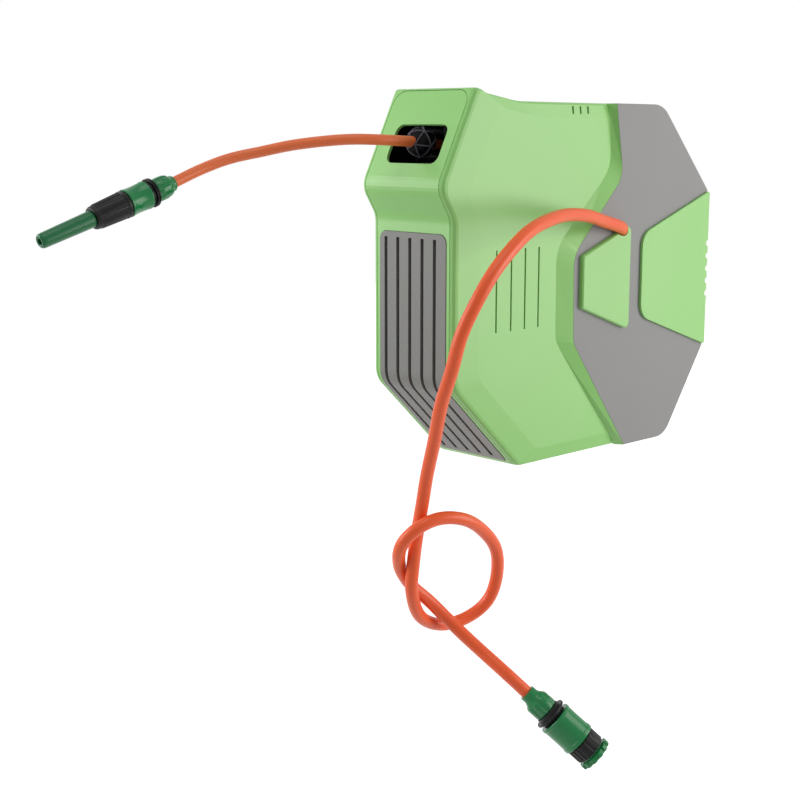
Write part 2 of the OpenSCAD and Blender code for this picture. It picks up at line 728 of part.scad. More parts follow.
// Hoses as swept tubes
function cross3(a, b) = [a[1] * b[2] - a[2] * b[1], a[2] * b[0] - a[0] * b[2], a[0] * b[1] - a[1] * b[0]];
function tangent(pts, i) = unit(pts[min(i + 1, len(pts) - 1)] - pts[max(i - 1, 0)]);
function mid_point(a, b, c, d) = (9 * (b + c) - a - d) / 16;
function denser(pts, from, to) = [for (i = [0:len(pts) - 1])
    each (i >= from && i < to ? [pts[i], mid_point(pts[i - 1], pts[i], pts[i + 1], pts[i + 2])] : [pts[i]])];
module tube(pts, d, sides = 10) {
    through_rings([for (i = [0:len(pts) - 1])
        let(t = tangent(pts, i), side = unit(cross3(t, [1, 0, 0])), up = cross3(t, side))
        for (k = [0:sides - 1]) pts[i] + d / 2 * (side * cos(k * 360 / sides) + up * sin(k * 360 / sides))],
        sides);
}
module main_hose() {
    color(orange) tube(main_route, hose_d);
}
module lead_hose() {
    color(orange) tube(denser(lead_route, lead_knot_from, lead_knot_to), lead_d);
}
module hose_stop() {
    ball_r = stop_ball_d / 2;
    color(black) translate(stop_at) rotate([90 - stop_tilt, 0, 0]) rotate_extrude()
        polygon(concat([for (a = [-65:10:65]) ball_r * [cos(a), sin(a)]],
            [[stop_bore_r, ball_r * 0.93], [stop_bore_r, -ball_r * 0.93]]));
}

// Nozzle end, drawn along its own axis from the end of the hose
module at_nozzle() {
    translate(nozzle_at) rotate([nozzle_tilt, 0, 0]) scale(fitting_scale) children();
}
nozzle_bore = 7;
module hose_nut() {
    color(deep_green) at_nozzle() difference() {
        union() {
            cylinder(h = 3, r = 6);
            translate([0, 0, 3]) cylinder(h = 17, r = 8.25);
            for (a = [0:45:315]) rotate(a) translate([7.9, -1.2, 4]) cube([1.4, 2.4, 12]);
        }
        translate([0, 0, 1]) cylinder(h = 30, r = 4);
    }
}
module connector_core() {
    color(black) at_nozzle() difference() {
        union() {
            translate([0, 0, 20]) cylinder(h = 2.5, r = 11);
            translate([0, 0, 20]) cylinder(h = 24, r = 9.5);
        }
        translate([0, 0, 19]) cylinder(h = 30, r = 4);
        translate([0, 0, 29]) cylinder(h = 20, r = nozzle_bore + run_fit);
    }
}
module connector_sleeve() {
    color(deep_green) at_nozzle() translate([0, 0, 26]) ring(11, 9.85, 19.5);
}
module nozzle_grip() {
    color(black) at_nozzle() difference() {
        union() {
            translate([0, 0, 30]) cylinder(h = 17, r = nozzle_bore);
            translate([0, 0, 46]) cylinder(h = 31, r1 = 10.4, r2 = 9);
            for (a = [0:30:330]) rotate(a) translate([8.2, -1.3, 49]) cube([2.4, 2.6, 22]);
        }
        translate([0, 0, 29]) cylinder(h = 60, r = 4);
    }
}
module nozzle_barrel() {
    color(deep_green) at_nozzle() difference() {
        union() {
            translate([0, 0, 77]) cylinder(h = 44, r1 = 6.5, r2 = 5);
            translate([0, 0, 121]) cylinder(h = 3, r1 = 5, r2 = 4);
        }
        translate([0, 0, 76]) cylinder(h = 60, r = 2.5);
    }
}

// Tap end of the lead hose, drawn along its own axis
module at_tap() {
    translate(tap_at) toward(tap_yaw, tap_tilt) scale(fitting_scale) children();
}
module tap_nut() {
    color(deep_green) at_tap() difference() {
        union() {
            cylinder(h = 5, r1 = 7.2, r2 = 7.4);
            translate([0, 0, 5]) cylinder(h = 5.5, r1 = 7.4, r2 = 10.2);
            translate([0, 0, 10.5]) cylinder(h = 12, r = 10.4);
            for (a = [0:45:315]) rotate(a) translate([9.2, -2, 11]) cube([1.9, 4, 11.5]);
        }
        translate([0, 0, 2]) cylinder(h = 30, r = 5);
    }
}
module tap_core() {
    color(black) at_tap() difference() {
        union() {
            translate([0, 0, 22.5]) cylinder(h = 32, r = 11.2);
            translate([0, 0, 25.5]) cylinder(h = 2, r = 14.6);
        }
        translate([0, 0, 22]) cylinder(h = 50, r = 5);
        translate([0, 0, 42]) cylinder(h = 20, r = 8.1);
    }
}
module tap_sleeve() {
    color(deep_green) at_tap() difference() {
        union() {
            translate([0, 0, 31]) cylinder(h = 27.5, r = 14.9);
            translate([0, 0, 31]) cylinder(h = 3, r = 15.4);
            translate([0, 0, 55]) cylinder(h = 3.5, r = 15.4);
        }
        translate([0, 0, 30]) cylinder(h = 40, r = 11.6);
    }
}
module tap_adaptor() {
    color(black) at_tap() difference() {
        union() {
            translate([0, 0, 43]) cylinder(h = 17, r = 8);
            translate([0, 0, 59]) cylinder(h = 13, r = 13.4);
            for (a = [0:20:340]) rotate(a) translate([12.8, -0.9, 60]) cube([1.5, 1.8, 11]);
        }
        translate([0, 0, 42]) cylinder(h = 40, r = 5);
    }
}
module tap_end_ring() {
    color(deep_green) at_tap() difference() {
        union() {
            translate([0, 0, 72]) cylinder(h = 6.5, r = 13.8);
            for (a = [0:60:300]) rotate(a) translate([12.8, -3.2, 72]) cube([2.4, 6.4, 6.5]);
        }
        translate([0, 0, 73.5]) cylinder(h = 20, r = 12);
        translate([0, 0, 70]) cylinder(h = 20, r = 5);
    }
}

wall_bracket();
pivot_pin();
pin_clip();
left_shell();
right_shell();
front_cover();
front_grille();
grille_screen();
left_panel();
right_panel();
left_hub_cap();
right_hub_cap();
left_rear_cover();
right_rear_cover();
swivel_mount();
case_screws();
roller_frame();
roller_pins();
top_roller();
bottom_roller();
left_roller();
right_roller();
main_axle();
inlet_elbow();
hub_seals();
pawl();
pawl_pin();
pawl_spring();
drum_core();
left_flange();
right_flange();
drum_screws();
ratchet_ring();
spring_can();
spring_cover();
power_spring();
swivel_hub();
outlet_barb();
hose_clamp();
wound_hose();
main_hose();
hose_stop();
hose_nut();
connector_core();
connector_sleeve();
nozzle_grip();
nozzle_barrel();
lead_hose();
tap_nut();
tap_core();
tap_sleeve();
tap_adaptor();
tap_end_ring();
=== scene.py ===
"""Looks of a wall mounted retractable hose reel: moulded case, two hoses, nozzle and tap connector."""
import math

import bmesh
import bpy
from mathutils import Matrix, Vector


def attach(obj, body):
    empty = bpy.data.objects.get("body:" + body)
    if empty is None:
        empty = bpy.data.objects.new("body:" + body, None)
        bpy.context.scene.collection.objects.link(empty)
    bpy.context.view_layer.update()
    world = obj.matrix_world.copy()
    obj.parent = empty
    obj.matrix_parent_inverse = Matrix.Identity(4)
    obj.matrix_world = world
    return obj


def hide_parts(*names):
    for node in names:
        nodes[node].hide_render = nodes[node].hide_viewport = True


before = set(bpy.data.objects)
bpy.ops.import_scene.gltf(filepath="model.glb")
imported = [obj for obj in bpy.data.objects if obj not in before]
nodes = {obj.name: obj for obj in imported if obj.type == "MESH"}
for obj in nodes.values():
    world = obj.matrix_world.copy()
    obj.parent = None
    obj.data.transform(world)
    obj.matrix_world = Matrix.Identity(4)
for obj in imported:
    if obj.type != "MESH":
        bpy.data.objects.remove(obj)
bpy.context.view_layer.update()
MM = 0.001


# Camera at the photograph's angle

camera_place = (0.9453, -1.3567, 0.1472)
turn = math.radians(46.2)
pitch = math.radians(10.66)
view_dir = Vector((-math.sin(turn) * math.cos(pitch), math.cos(turn) * math.cos(pitch), -math.sin(pitch)))
view_right = Vector((math.cos(turn), math.sin(turn), 0))
view_up = view_right.cross(view_dir)
camera = bpy.data.objects.new("camera", bpy.data.cameras.new("camera"))
camera.data.sensor_width = 36
camera.data.lens = 65.75
camera.data.clip_end = 50
camera.matrix_world = (Matrix.Translation(camera_place)
    @ Matrix((view_right, view_up, -view_dir)).transposed().to_4x4())
bpy.context.scene.collection.objects.link(camera)
bpy.context.scene.camera = camera


# Materials

def linear(hex_colour):
    """An sRGB hex colour as linear red, green, blue and alpha."""
    parts = [int(hex_colour[i:i + 2], 16) / 255 for i in (1, 3, 5)]
    return [c / 12.92 if c <= 0.04045 else ((c + 0.055) / 1.055) ** 2.4 for c in parts] + [1]


def add(tree, kind, settings=None, links=None):
    """One node. A setting is a property where the node has one of that name, and an input otherwise."""
    node = tree.nodes.new(kind)
    for name, value in (settings or {}).items():
        if hasattr(node, str(name)):
            setattr(node, name, value)
        else:
            node.inputs[name].default_value = value
    for name, source in (links or {}).items():
        tree.links.new(source, node.inputs[name])
    return node


def new_material(name):
    """A material and its empty node tree."""
    material = bpy.data.materials.new(name)
    material.use_nodes = True
    material.node_tree.nodes.clear()
    return material, material.node_tree


def pattern_scale(size_mm):
    """A pattern's scale from the real size of one of its grains, in mm."""
    return 1 / (size_mm * MM)


def grained(name, colour, shade, grain_mm, depth_mm, roughness, shine=0.5, wear=0.04, drift_mm=90):
    """Plastic, rubber or paint: a slow drift between two near colours, and the fine grain of its making."""
    material, tree = new_material(name)
    place = add(tree, "ShaderNodeTexCoord").outputs["Object"]
    drift = add(tree, "ShaderNodeTexNoise", {"Scale": pattern_scale(drift_mm), "Detail": 2.0},
        {"Vector": place})
    tint = add(tree, "ShaderNodeMix", {"data_type": "RGBA", "A": linear(colour), "B": linear(shade)},
        {"Factor": drift.outputs["Fac"]})
    grain = add(tree, "ShaderNodeTexNoise",
        {"Scale": pattern_scale(grain_mm), "Detail": 3.0, "Roughness": 0.6}, {"Vector": place})
    bump = add(tree, "ShaderNodeBump", {"Strength": 0.35, "Distance": depth_mm * MM},
        {"Height": grain.outputs["Fac"]})
    sheen = add(tree, "ShaderNodeMapRange", {"To Min": roughness - wear, "To Max": roughness + wear},
        {"Value": grain.outputs["Fac"]})
    shader = add(tree, "ShaderNodeBsdfPrincipled", {"IOR": 1.5, "Specular IOR Level": shine},
        {"Base Color": tint.outputs["Result"], "Roughness": sheen.outputs["Result"],
            "Normal": bump.outputs["Normal"]})
    add(tree, "ShaderNodeOutputMaterial", {}, {"Surface": shader.outputs["BSDF"]})
    return material


def metal(name, colour, shade, mark_mm, roughness, wear=0.08, cloud_mm=12, depth_mm=0.02):
    """Bare or plated metal: fine tool marks under slow clouds, which change its colour and its gloss."""
    material, tree = new_material(name)
    place = add(tree, "ShaderNodeTexCoord").outputs["Object"]
    clouds = add(tree, "ShaderNodeTexNoise", {"Scale": pattern_scale(cloud_mm), "Detail": 4.0},
        {"Vector": place})
    marks = add(tree, "ShaderNodeTexNoise", {"Scale": pattern_scale(mark_mm), "Detail": 2.0},
        {"Vector": place})
    tint = add(tree, "ShaderNodeMix", {"data_type": "RGBA", "A": linear(colour), "B": linear(shade)},
        {"Factor": clouds.outputs["Fac"]})
    sheen = add(tree, "ShaderNodeMapRange", {"To Min": roughness - wear, "To Max": roughness + wear},
        {"Value": clouds.outputs["Fac"]})
    bump = add(tree, "ShaderNodeBump", {"Strength": 0.2, "Distance": depth_mm * MM},
        {"Height": marks.outputs["Fac"]})
    shader = add(tree, "ShaderNodeBsdfPrincipled", {"Metallic": 1.0},
        {"Base Color": tint.outputs["Result"], "Roughness": sheen.outputs["Result"],
            "Normal": bump.outputs["Normal"]})
    add(tree, "ShaderNodeOutputMaterial", {}, {"Surface": shader.outputs["BSDF"]})
    return material


def painted_light_by_radius(name, deep, top, highlight_from_mm, highlight_full_mm, grain_mm, depth_mm):
    """Rubber with painted light: it is painted lighter, as a highlight, far out from the middle of its
    piece, and darker, as shade, nearer the middle.
    """
    material, tree = new_material(name)
    place = add(tree, "ShaderNodeTexCoord").outputs["Object"]
    radius = add(tree, "ShaderNodeVectorMath", {"operation": "LENGTH"}, {0: place})
    # Share of the painted highlight: 0 in the shaded pockets, 1 on the tops of the ribs.
    highlight_share = add(tree, "ShaderNodeMapRange", {"From Min": highlight_from_mm * MM, "From Max": highlight_full_mm * MM},
        {"Value": radius.outputs["Value"]})
    tint = add(tree, "ShaderNodeMix", {"data_type": "RGBA", "A": linear(deep), "B": linear(top)},
        {"Factor": highlight_share.outputs["Result"]})
    grain = add(tree, "ShaderNodeTexNoise", {"Scale": pattern_scale(grain_mm), "Detail": 3.0},
        {"Vector": place})
    bump = add(tree, "ShaderNodeBump", {"Strength": 0.3, "Distance": depth_mm * MM},
        {"Height": grain.outputs["Fac"]})
    shader = add(tree, "ShaderNodeBsdfPrincipled", {"IOR": 1.5, "Roughness": 0.6, "Specular IOR Level": 0.1},
        {"Base Color": tint.outputs["Result"], "Normal": bump.outputs["Normal"]})
    add(tree, "ShaderNodeOutputMaterial", {}, {"Surface": shader.outputs["BSDF"]})
    return material


# The real grain of a moulded or machined surface is a tenth of a millimetre or finer. It is drawn 0.4 to
# 1.2 mm wide, as coarse as it needs to show. The hoses' ripple and the orange peel have their real size.

# ABS from a spark-eroded mould: an even satin light green with soft, wide highlights.
abs_light_green = grained("moulded_abs_light_green", "#8cc970", "#87c36b",
    grain_mm=0.9, depth_mm=0.03, roughness=0.38)
# The same ABS in grey, with a deeper grain: flat and even, hardly any gloss.
abs_mid_grey = grained("moulded_abs_mid_grey", "#868686", "#808080",
    grain_mm=0.8, depth_mm=0.05, roughness=0.55)
# Moulded polypropylene of the grille: slightly darker than the panels, dull.
polypropylene_grey = grained("moulded_polypropylene_grey", "#7a7a77", "#747471",
    grain_mm=0.9, depth_mm=0.05, roughness=0.5)
# Moulded glass filled nylon of the drum, rollers and hubs: near black, satin, a faint grain.
nylon_black = grained("moulded_nylon_black", "#0a0b0a", "#101110",
    grain_mm=0.7, depth_mm=0.05, roughness=0.5, shine=0.12)
# Moulded acetal of the black grips and rings: black with a clearer highlight.
acetal_black = grained("moulded_acetal_black", "#0d0e0e", "#131515",
    grain_mm=0.8, depth_mm=0.03, roughness=0.4, shine=0.2)
# ABS of the hose fittings, from a smooth mould: deep green, semi gloss.
abs_deep_green = grained("moulded_abs_deep_green", "#0e8044", "#0b743c",
    grain_mm=1.2, depth_mm=0.02, roughness=0.22, shine=0.35)
# The same, for the nozzle's barrel, which is a darker green and a little duller.
abs_barrel_green = grained("moulded_abs_barrel_green", "#126a3c", "#106036",
    grain_mm=1.2, depth_mm=0.02, roughness=0.28, shine=0.3)
# Extruded soft PVC of the drum hose, with the ripple of its die: paler, slightly chalky orange.
pvc_pale_orange = grained("extruded_pvc_pale_orange", "#e8733f", "#e06a39",
    grain_mm=2.5, depth_mm=0.02, roughness=0.42, shine=0.4, wear=0.05)
# Extruded soft PVC of the lead hose: stronger orange red with a wet-looking highlight.
pvc_deep_orange = grained("extruded_pvc_deep_orange", "#f2642f", "#ec5827",
    grain_mm=2.5, depth_mm=0.015, roughness=0.36, shine=0.4)
# Moulded nitrile rubber of the seals: dead black with a dusty grain.
nitrile_black = grained("moulded_nitrile_black", "#191919", "#222222",
    grain_mm=0.6, depth_mm=0.05, roughness=0.6)
# The same rubber on the stop ball's net, with painted light: the ribs are painted a dusty grey as a
# highlight, and the pockets a deeper black than the rubber as painted shade.
nitrile_painted_light = painted_light_by_radius("moulded_nitrile_painted_highlight_shade", "#060606", "#5a5560",
    highlight_from_mm=12.8, highlight_full_mm=13.9, grain_mm=0.6, depth_mm=0.04)
# Powder coated steel of the wall bracket: charcoal with the orange peel of baked powder.
powder_coat_charcoal = grained("powder_coated_steel_charcoal", "#333536", "#2d2f30",
    grain_mm=1.4, depth_mm=0.08, roughness=0.45)
# Zinc plated steel of screws and pins: bluish grey, half bright, slightly cloudy.
zinc_plated_steel = metal("zinc_plated_steel", "#b9bdc0", "#a4a8ac", mark_mm=0.5, roughness=0.34)
# Turned brass of the barb inside the drum: warm yellow and bright, with fine tool marks.
turned_brass = metal("turned_brass", "#c9a24e", "#b8903f", mark_mm=0.4, roughness=0.28)


# The pieces that show their CAD form, each with its material and a small round on its edges

def show(piece, body, node=None):
    """Puts a piece in the scene, on its body, in place of the node it stands for."""
    bpy.context.scene.collection.objects.link(piece)
    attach(piece, body)
    if node:
        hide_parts(node)
    return piece


def refill_folds(bm):
    """Fills again each flat face whose triangles fold over themselves, within its own rim."""
    folded = math.radians(179)
    same_plane = 0.999999
    for fold in [edge for edge in bm.edges if edge.calc_face_angle(0) > folded]:
        if not fold.is_valid or fold.calc_face_angle(0) < folded:
            continue
        flat = set(fold.link_faces)
        grow = list(flat)
        while grow:
            face = grow.pop()
            for near in {near for edge in face.edges for near in edge.link_faces} - flat:
                if abs(near.normal.dot(face.normal)) > same_plane:
                    flat.add(near)
                    grow.append(near)
        facing = sum((face.normal * face.calc_area() for face in flat), Vector()).normalized()
        rim = [edge for edge in {edge for face in flat for edge in face.edges}
            if sum(face in flat for face in edge.link_faces) == 1]
        bmesh.ops.delete(bm, geom=list(flat), context="FACES")
        bmesh.ops.triangle_fill(bm, edges=[edge for edge in rim if edge.is_valid], use_beauty=True,
            use_dissolve=False, normal=facing)


def smooth_faced(node):
    """A half shell shown by a copy of its CAD mesh, in which the big flat faces lie clean."""
    mesh = bpy.data.meshes.new(node + "_smooth_faced")
    bm = bmesh.new()
    bm.from_mesh(nodes[node].data)
    bmesh.ops.remove_doubles(bm, verts=bm.verts, dist=0.001 * MM)
    refill_folds(bm)
    bm.to_mesh(mesh)
    bm.free()
    return show(bpy.data.objects.new(node + "_smooth_faced", mesh), "case", node)


def finish_piece(piece, material, edge_mm):
    """Gives a piece its material, joins its flat triangles and rounds its edges."""
    piece.data.materials.clear()
    piece.data.materials.append(material)
    weld = piece.modifiers.new("weld", "WELD")
    weld.merge_threshold = 0.01 * MM
    flats = piece.modifiers.new("flats", "DECIMATE")
    flats.decimate_type = "DISSOLVE"
    flats.angle_limit = math.radians(0.4)
    bevel = piece.modifiers.new("edges", "BEVEL")
    bevel.width = edge_mm * MM
    bevel.segments = 2
    bevel.limit_method = "ANGLE"
    bevel.angle_limit = math.radians(35)
    bevel.harden_normals = True


for half in ("left_shell", "right_shell"):
    finish_piece(smooth_faced(half), abs_light_green, edge_mm=1.2)

# Rows of a material, the width of the edge rounds in mm, and the pieces that have both.
finishes = [
    (abs_light_green, 0.9, ["front_cover"]),
    (abs_light_green, 0.8, ["left_hub_cap", "right_hub_cap", "left_rear_cover", "right_rear_cover"]),
    (abs_mid_grey, 0.8, ["left_panel", "right_panel"]),
    (polypropylene_grey, 0.7, ["front_grille"]),
    (powder_coat_charcoal, 0.8, ["wall_bracket"]),
    (nylon_black, 0.6, ["swivel_mount"]),
    # grille_screen is a black sheet behind the grille's slots: painted shade for the dark inside of the case
    # seen through them.
    (nylon_black, 0.35, ["roller_frame", "top_roller", "bottom_roller", "left_roller", "right_roller",
        "inlet_elbow", "drum_core", "left_flange", "right_flange", "swivel_hub", "grille_screen"]),
    (acetal_black, 0.35, ["tap_core"]),
    (pvc_pale_orange, 0.35, ["wound_hose"]),
    (nitrile_black, 0.35, ["hub_seals"]),
    (zinc_plated_steel, 0.35, ["case_screws", "roller_pins", "main_axle", "pawl_pin", "pawl_spring", "pawl",
        "drum_screws", "ratchet_ring", "spring_can", "spring_cover", "power_spring", "hose_clamp",
        "pivot_pin", "pin_clip"]),
    (turned_brass, 0.35, ["outlet_barb"]),
]
for material, edge_mm, names in finishes:
    for name in names:
        finish_piece(nodes[name], material, edge_mm)


# The two hoses

def smooth_line(points, spacing=2 * MM, steps=16, rounds=12):
    """A smooth line near the points, with even short steps, that keeps both ends."""
    curve = []
    padded = [2 * points[0] - points[1], *points, 2 * points[-1] - points[-2]]
    for before, start, end, after in zip(padded, padded[1:], padded[2:], padded[3:]):
        for k in range(steps):
            t = k / steps
            curve.append(0.5 * (2 * start + (end - before) * t
                + (2 * before - 5 * start + 4 * end - after) * t * t
                + (3 * start - before - 3 * end + after) * t * t * t))
    curve.append(points[-1])
    line = [curve[0]]
    left = spacing
    for start, end in zip(curve, curve[1:]):
        reach = (end - start).length
        while reach > left:
            start = start.lerp(end, left / reach)
            reach = (end - start).length
            line.append(start)
            left = spacing
        left -= reach
    line[-1] = curve[-1]
    for _ in range(rounds):
        line[1:-1] = [(a + 2 * b + c) / 4 for a, b, c in zip(line, line[1:], line[2:])]
    return line


def hose(name, line, diameter, material, node=None):
    """A round hose along a line, as a curve with a bevel, which rides on the case."""
    curve = bpy.data.curves.new(name, "CURVE")
    curve.dimensions = "3D"
    curve.bevel_depth = diameter / 2
    curve.bevel_resolution = 8
    curve.use_fill_caps = True
    curve.materials.append(material)
    spline = curve.splines.new("POLY")
    spline.points.add(len(line) - 1)
    for point, place in zip(spline.points, line):
        point.co = (*place, 1)
    return show(bpy.data.objects.new(name, curve), "case", node)


# The lead hose's route in mm, from the inlet elbow through its knot to the tap connector.
lead_diameter = 12 * MM
lead_route = [(56.8, -203.7, 44.1), (68, -219, 50), (77, -258, 58), (88, -295, 65), (98, -337, 68),
    (107, -373, 65), (114, -405, 58), (119, -434, 44), (120, -458, 25), (116, -474, 1), (107, -482, -26),
    (96, -482, -58), (81, -479, -89), (66, -472, -124), (52, -467, -158), (45, -466, -187),
    (42, -470, -217), (42, -474, -241), (39, -473, -267), (32, -456, -296), (30, -427, -312),
    (36, -399, -311), (47, -381, -296), (55, -377, -271), (63, -387, -240), (66, -410, -216),
    (67, -436, -201), (61, -462, -197), (53, -482, -205), (41, -489, -222), (29, -478, -246),
    (26, -460, -268), (32, -444, -284), (43, -433, -300), (56, -425, -314), (74, -416, -330),
    (97, -410, -345), (113, -398, -363)]
lead_line = smooth_line([Vector(point) * MM for point in lead_route])

# The drum hose in mm: it leaves the coil, runs straight to the guide between the rollers and comes out of
# the window. The free part's points are steps from the guide.
drum_diameter = 9.5 * MM
coil_leave = Vector((0, -221, 111.3))
guide = Vector((0, -405, 130.5))
free_steps = [(0, -21, 1.6), (0, -38, 2.6), (-4, -65.5, 4), (-17, -88.5, 4.5), (-36, -107, 2.5),
    (-57, -124, -1), (-75, -143, -6.5), (-87, -167, -12), (-93.5, -193.5, -21), (-94.5, -222.5, -32)]
window_y = -426 * MM
drum_line = smooth_line([point * MM for point in
    [coil_leave, coil_leave.lerp(guide, 1 / 3), coil_leave.lerp(guide, 2 / 3), guide]
    + [guide + Vector(step) for step in free_steps]])
leaves_window = min(range(len(drum_line)), key=lambda k: abs(drum_line[k].y - window_y))
inner_line = drum_line[:leaves_window + 1]
free_line = drum_line[leaves_window:]

lead_hose = hose("lead_hose_smooth", lead_line, lead_diameter, pvc_deep_orange, "lead_hose")
drum_hose = hose("drum_hose_free", free_line, drum_diameter, pvc_pale_orange, "main_hose")
hose("drum_hose_inside", inner_line, drum_diameter, pvc_pale_orange)


# Connectors and nozzle on the hose ends, drawn a little over their common size

fitting_scale = 1.1


def ease(share):
    """A share, kept within 0 and 1, with a soft start and a soft end."""
    share = min(1, max(0, share))
    return share * share * (3 - 2 * share)


def turned(name, rings, place, body, node, material, ribs=0, flat=0.5, through=False):
    """A round piece from rings of height, radius and rib height, in mm of the fittings' common size.

    flat is the share of a rib's pitch that the rib fills. A piece that goes through is a tube, where the
    last ring joins the first.
    """
    size = fitting_scale * MM
    sides = 144
    rib_slope = 2.6
    mesh = bpy.data.meshes.new(name)
    bm = bmesh.new()
    loops = []
    for height, radius, rib in rings:
        loop = []
        for k in range(sides):
            angle = 2 * math.pi * k / sides
            wave = 0.5 + 0.5 * math.cos(ribs * angle)
            r = radius + rib * ease((wave - (1 - flat)) * rib_slope + 0.5)
            loop.append(bm.verts.new((r * math.cos(angle) * size, r * math.sin(angle) * size,
                height * size)))
        loops.append(loop)
    for low, high in zip(loops, loops[1:] + (loops[:1] if through else [])):
        for k in range(sides):
            bm.faces.new((low[k], low[(k + 1) % sides], high[(k + 1) % sides], high[k]))
    if not through:
        bm.faces.new(loops[0][::-1])
        bm.faces.new(loops[-1])
    bmesh.ops.recalc_face_normals(bm, faces=bm.faces)
    bm.to_mesh(mesh)
    bm.free()
    mesh.shade_smooth()
    mesh.set_sharp_from_angle(angle=math.radians(32))
    mesh.materials.append(material)
    piece = bpy.data.objects.new(name, mesh)
    piece.matrix_world = place
    return show(piece, body, node)


nozzle_tilt = math.radians(108.3)
nozzle_place = Matrix.Translation(drum_line[-1]) @ Matrix.Rotation(nozzle_tilt, 4, "X")
hose_nut = turned("hose_nut_ribbed",
    [(0, 4.8, 0), (0, 5.9, 0), (0.5, 6.2, 0), (2.6, 6.2, 0), (3.4, 6.6, 0.2), (5.2, 7.6, 0.7), (8, 8.1, 1),
        (14, 8.2, 1), (17.5, 7.9, 0.8), (19.3, 7.2, 0.3), (19.9, 6.4, 0), (19.9, 4.8, 0)],
    nozzle_place, "case", "hose_nut", abs_deep_green, ribs=8, flat=0.62)
connector_core = turned("connector_core_collared",
    [(20, 4, 0), (20, 10.8, 0), (20.3, 11.3, 0), (21, 11.3, 0), (21.3, 10.4, 0), (21.6, 10.4, 0),
        (21.9, 11.4, 0), (22.5, 11.4, 0), (22.8, 11, 0), (22.8, 9.5, 0), (44, 9.5, 0), (44, 7.05, 0),
        (29, 7.05, 0), (29, 4, 0)],
    nozzle_place, "case", "connector_core", acetal_black, through=True)
connector_sleeve = turned("connector_sleeve_waisted",
    [(26, 9.9, 0), (26, 10.6, 0), (26.4, 11, 0), (27.6, 11, 0), (28.2, 10.7, 0), (36, 10.45, 0),
        (43.4, 10.7, 0), (44, 11, 0), (45.1, 11, 0), (45.5, 10.7, 0), (45.5, 9.9, 0)],
    nozzle_place, "hose_sleeve", "connector_sleeve", abs_deep_green, through=True)
nozzle_grip = turned("nozzle_grip_fluted",
    [(46, 7, 0), (46, 10.2, 0), (46.5, 10.7, 0), (48.5, 10.8, 0), (49.2, 10.1, 0), (50.5, 9.9, 0.6),
        (72, 9.1, 0.6), (73.8, 9.1, 0), (75.5, 9, 0), (76.6, 8.5, 0), (77, 7.8, 0), (77, 6, 0)],
    nozzle_place, "nozzle", "nozzle_grip", acetal_black, ribs=24)
nozzle_barrel = turned("nozzle_barrel_tapered",
    [(77, 2.5, 0), (77, 6.2, 0), (77.6, 6.5, 0), (79, 6.5, 0), (100, 6.15, 0), (120, 5.8, 0),
        (122.4, 5.6, 0), (123.5, 5, 0), (124, 4.2, 0), (124, 3, 0), (123.4, 2.5, 0)],
    nozzle_place, "nozzle", "nozzle_barrel", abs_barrel_green, through=True)

tap_turn = math.radians(36.87)
tap_tilt = math.radians(131.3)
tap_place = (Matrix.Translation(lead_line[-1]) @ Matrix.Rotation(tap_turn, 4, "Z")
    @ Matrix.Rotation(tap_tilt, 4, "Y"))
tap_nut = turned("tap_nut_flared",
    [(0, 6.3, 0), (0, 6.9, 0), (0.6, 7.2, 0), (4, 7.2, 0), (5.5, 7.4, 0), (8, 8.6, 0.1), (10, 9.8, 0.5),
        (11, 10, 0.9), (21, 10.2, 0.9), (22.2, 9.9, 0.5), (22.5, 9.2, 0), (22.5, 6, 0)],
    tap_place, "case", "tap_nut", abs_deep_green, ribs=8, flat=0.62)
tap_sleeve = turned("tap_sleeve_waisted",
    [(31, 11.6, 0), (31, 14.9, 0), (31.4, 15.3, 0), (33.4, 15.4, 0), (34, 14.9, 0), (45, 14.75, 0),
        (54.6, 14.9, 0), (55.2, 15.4, 0), (58.1, 15.4, 0), (58.5, 15, 0), (58.5, 11.6, 0)],
    tap_place, "tap_sleeve", "tap_sleeve", abs_deep_green, through=True)
tap_adaptor = turned("tap_adaptor_knurled",
    [(59, 8, 0), (59, 13, 0), (59.5, 13.5, 0), (60, 13.4, 0.7), (71, 13.4, 0.7), (71.6, 13.3, 0),
        (72, 12.8, 0), (72, 8, 0)],
    tap_place, "case", "tap_adaptor", acetal_black, ribs=20, flat=0.55)
tap_end_ring = turned("tap_end_ring_lugged",
    [(72, 5, 0), (72, 11.2, 0), (73.6, 11.4, 0), (73.8, 12.8, 1.2), (74.2, 13.6, 1.6), (78, 13.6, 1.6),
        (78.5, 13.2, 1.4), (78.5, 12.2, 0), (75, 12, 0), (75, 5, 0)],
    tap_place, "case", "tap_end_ring", abs_deep_green, ribs=12, flat=0.6, through=True)


# The stop ball on the drum hose, in front of the window

def arc_gap(direction, start, end):
    """The angle between a direction and the arc from start to end, all of them unit vectors."""
    side = start.cross(end).normalized()
    foot = direction - side * direction.dot(side)
    level = start.dot(end) * foot.length
    if foot.dot(start) > level and foot.dot(end) > level:
        return math.asin(min(1, abs(direction.dot(side))))
    return min(direction.angle(start), direction.angle(end))


def net_ribs(corner):
    """The edges of an icosahedron that has a corner in the given direction, as pairs of unit vectors."""
    up = Vector((0, 0, 1))
    past_neighbours = 1.2
    ring = [Vector((2 * math.cos(k * math.pi / 5), 2 * math.sin(k * math.pi / 5), (-1) ** k)).normalized()
        for k in range(10)]
    turn_up = up.rotation_difference(corner).to_matrix()
    corners = [turn_up @ c for c in ring + [up, -up]]
    return [(a, b) for k, a in enumerate(corners) for b in corners[k + 1:] if a.angle(b) < past_neighbours]


